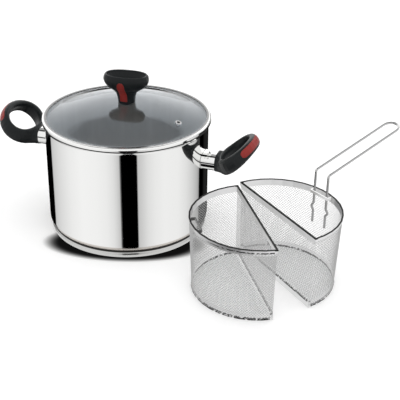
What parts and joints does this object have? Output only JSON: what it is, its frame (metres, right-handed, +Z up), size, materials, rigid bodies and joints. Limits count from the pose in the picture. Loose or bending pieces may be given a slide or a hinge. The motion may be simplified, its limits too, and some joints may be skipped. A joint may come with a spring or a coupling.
{
  "type": "stockpot with straining baskets",
  "caption": "Deep steel pot with ring side handles, domed glass lid with an oval dished knob, and half-round mesh straining baskets with a plug-in wire handle",
  "frame": {"origin": "the centre of the pot's base, on the surface that it stands on", "axes": "+Z is up along the pot's axis; +X points to the right of the picture, along the row of pot and baskets; -Y points toward the viewer"},
  "size_m": [0.5968, 0.3942, 0.2391],
  "materials": {
    "polished_steel": "mirror-polished stainless steel",
    "satin_steel": "fine satin stainless steel",
    "steel_mesh": "fine woven stainless steel mesh",
    "aluminium": "plain rolled aluminium, enclosed in the base",
    "tinted_glass": "clear grey-tinted tempered glass",
    "black_plastic": "soft matte black moulding",
    "red_plastic": "satin brick-red moulding"
  },
  "bodies": {
    "pot": {"pot_shell": "polished_steel", "base_core": "aluminium", "base_cap": "satin_steel", "handle_lug_right": "satin_steel", "handle_lug_left": "satin_steel", "handle_ferrule_right": "polished_steel", "handle_ferrule_left": "polished_steel", "handle_grip_right": "black_plastic", "handle_grip_left": "black_plastic", "handle_inlay_right": "red_plastic", "handle_inlay_left": "red_plastic"},
    "lid": {"lid_glass": "tinted_glass", "lid_rim": "satin_steel", "vent_eyelet": "polished_steel", "lid_knob": "black_plastic", "knob_inlay": "red_plastic", "knob_washer": "satin_steel", "knob_screw": "satin_steel"},
    "basket_left": {"rim_band_left": "polished_steel", "base_band_left": "polished_steel", "round_mesh_left": "steel_mesh", "flat_mesh_left": "steel_mesh", "floor_mesh_left": "steel_mesh", "staple_left": "polished_steel"},
    "basket_right": {"rim_band_right": "polished_steel", "base_band_right": "polished_steel", "round_mesh_right": "steel_mesh", "flat_mesh_right": "steel_mesh", "floor_mesh_right": "steel_mesh", "staple_right": "polished_steel"},
    "basket_handle": {"wire_handle": "polished_steel"}
  },
  "joints": [
    {"name": "lid_lift", "type": "slide", "parent": "pot", "child": "lid", "axis": [0, 0, 1], "range_m": [0, 0.12]},
    {"name": "left_basket_lift", "type": "slide", "parent": "pot", "child": "basket_left", "axis": [0, -0.7071, 0.7071], "range_m": [0, 0.18]},
    {"name": "right_basket_lift", "type": "slide", "parent": "pot", "child": "basket_right", "axis": [0.4243, -0.5657, 0.7071], "range_m": [0, 0.18]},
    {"name": "wire_handle_slide", "type": "slide", "parent": "basket_right", "child": "basket_handle", "axis": [0, 0, 1], "range_m": [-0.028, 0.017]}
  ]
}
